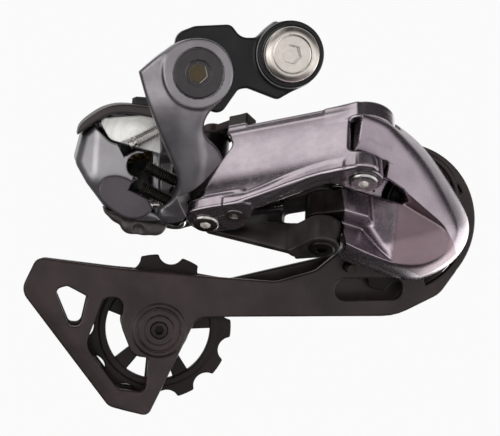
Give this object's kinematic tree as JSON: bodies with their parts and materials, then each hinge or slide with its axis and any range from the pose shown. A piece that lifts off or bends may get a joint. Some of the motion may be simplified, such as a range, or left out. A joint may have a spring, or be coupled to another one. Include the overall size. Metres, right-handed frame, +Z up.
{
  "type": "rear bicycle derailleur",
  "caption": "Motor-driven rear derailleur: a slant parallelogram moves a spring-loaded pulley cage across the sprockets and takes up chain slack.",
  "frame": {"origin": "axis of the hanger bolt, at the face of the hanger link that bears on the bicycle frame's hanger", "axes": "+X to the front of the bicycle, +Y from the outside towards the wheel along the hanger bolt, +Z up"},
  "size_m": [0.1387, 0.0608, 0.1195],
  "materials": {
    "link_black": "satin black anodised aluminium",
    "bolt_steel": "satin stainless steel",
    "bolt_dark": "dark grey plated steel",
    "knuckle_grey": "satin grey painted aluminium casting",
    "housing_grey": "satin grey painted casting",
    "guard_brown": "matt dark brown moulding",
    "plate_bright": "bright polished sheet",
    "cover_dark": "smooth dark moulding",
    "rubber_black": "matt black rubber",
    "bush_bronze": "sintered bronze",
    "motor_steel": "drawn steel can",
    "board_green": "lacquered circuit board",
    "screw_black": "blackened steel",
    "link_gloss": "glossy metallic grey paint",
    "link_dark": "satin dark brown-grey casting",
    "spring_black": "black coated spring steel",
    "cage_brown": "satin brown-black anodised aluminium",
    "pulley_black": "filled nylon",
    "gear_brass": "sintered metal gear"
  },
  "bodies": {
    "hanger": {"hanger_link": "link_black", "hanger_bolt": "bolt_steel", "bracket_axle_bolt": "bolt_dark", "axle_dust_ring": "rubber_black"},
    "b_knuckle": {"b_knuckle": "knuckle_grey", "axle_bushing": "bush_bronze", "motor_housing": "housing_grey", "housing_rear_cover": "cover_dark", "top_guard": "guard_brown", "side_plate": "plate_bright", "lower_cover": "cover_dark", "cable_port_cover": "guard_brown", "cable_plug": "rubber_black", "drive_motor": "motor_steel", "circuit_board": "board_green", "cover_screws": "bolt_steel"},
    "pinion": {"motor_pinion": "gear_brass"},
    "b_tension_screw": {"b_tension_screw": "screw_black"},
    "high_limit_screw": {"high_limit_screw": "screw_black"},
    "low_limit_screw": {"low_limit_screw": "screw_black"},
    "outer_link": {"outer_link": "link_gloss", "outer_link_pin_b": "bolt_steel", "outer_link_pin_p": "bolt_steel", "outer_pin_clips": "spring_black", "stop_rivet": "bolt_steel"},
    "inner_link": {"inner_link": "link_dark", "inner_link_pin_b": "bolt_steel", "inner_link_pin_p": "bolt_steel", "drive_sector": "gear_brass", "saver_spring": "spring_black"},
    "p_knuckle": {"p_knuckle": "knuckle_grey", "cage_tension_spring": "spring_black", "cage_axle_seal": "rubber_black"},
    "cage": {"cage_axle": "bolt_steel", "cage_outer_plate": "cage_brown", "cage_inner_plate": "cage_brown", "cage_stop_pin": "bolt_steel", "guide_pulley_bolt": "bolt_dark", "tension_pulley_bolt": "bolt_dark", "guide_pulley_bushing": "bolt_steel", "tension_pulley_bushing": "bolt_steel", "guide_pulley_caps": "cage_brown", "tension_pulley_caps": "cage_brown"},
    "guide_pulley": {"guide_pulley": "pulley_black"},
    "tension_pulley": {"tension_pulley": "pulley_black"}
  },
  "joints": [
    {"name": "hanger_pivot", "type": "hinge", "parent": "hanger", "child": "b_knuckle", "pos_m": [-0.0278, -0.01, -0.0054], "axis": [0, 1, 0], "range_deg": [-8, 25], "stiffness_Nm_per_rad": 2, "springref_deg": -1.6},
    {"name": "link_swing", "type": "hinge", "parent": "b_knuckle", "child": "outer_link", "pos_m": [-0.02415, 0.002, -0.0504], "axis": [0.134, 0.6101, 0.7809], "range_deg": [-2, 58], "stiffness_Nm_per_rad": 1, "springref_deg": -2.41},
    {"name": "inner_link_swing", "type": "hinge", "parent": "b_knuckle", "child": "inner_link", "pos_m": [-0.03376, 0.01566, -0.05942], "axis": [0.134, 0.6101, 0.7809], "range_deg": [-2, 58]},
    {"name": "cage_knuckle_swing", "type": "hinge", "parent": "outer_link", "child": "p_knuckle", "pos_m": [0.01966, -0.02005, -0.04069], "axis": [0.134, 0.6101, 0.7809], "range_deg": [-58, 2]},
    {"name": "pinion_spin", "type": "hinge", "parent": "b_knuckle", "child": "pinion", "pos_m": [-0.04441, 0.00888, -0.0523], "axis": [0.134, 0.6101, 0.7809], "range_deg": [-116, 4]},
    {"name": "cage_pivot", "type": "hinge", "parent": "p_knuckle", "child": "cage", "pos_m": [0.0394, 0.004, -0.0446], "axis": [0, -1, 0], "range_deg": [0, 110], "stiffness_Nm_per_rad": 0.25, "springref_deg": -120.32},
    {"name": "guide_pulley_spin", "type": "hinge", "parent": "cage", "child": "guide_pulley", "pos_m": [0.03575, 0.012, -0.0511], "axis": [0, 1, 0], "continuous": true},
    {"name": "tension_pulley_spin", "type": "hinge", "parent": "cage", "child": "tension_pulley", "pos_m": [-0.03805, 0.012, -0.0834], "axis": [0, 1, 0], "continuous": true},
    {"name": "b_tension_adjust", "type": "slide", "parent": "b_knuckle", "child": "b_tension_screw", "axis": [0.8988, 0, 0.4384], "range_m": [-0.0015, 0.003]},
    {"name": "high_limit_adjust", "type": "slide", "parent": "b_knuckle", "child": "high_limit_screw", "axis": [0.891, 0, -0.454], "range_m": [-0.0015, 0.0015]},
    {"name": "low_limit_adjust", "type": "slide", "parent": "b_knuckle", "child": "low_limit_screw", "axis": [0.891, 0, -0.454], "range_m": [-0.0015, 0.0015]}
  ],
  "couplings": [
    {"joint": "inner_link_swing", "follows": "link_swing", "ratio": 1},
    {"joint": "cage_knuckle_swing", "follows": "link_swing", "ratio": -1},
    {"joint": "pinion_spin", "follows": "link_swing", "ratio": -2}
  ]
}
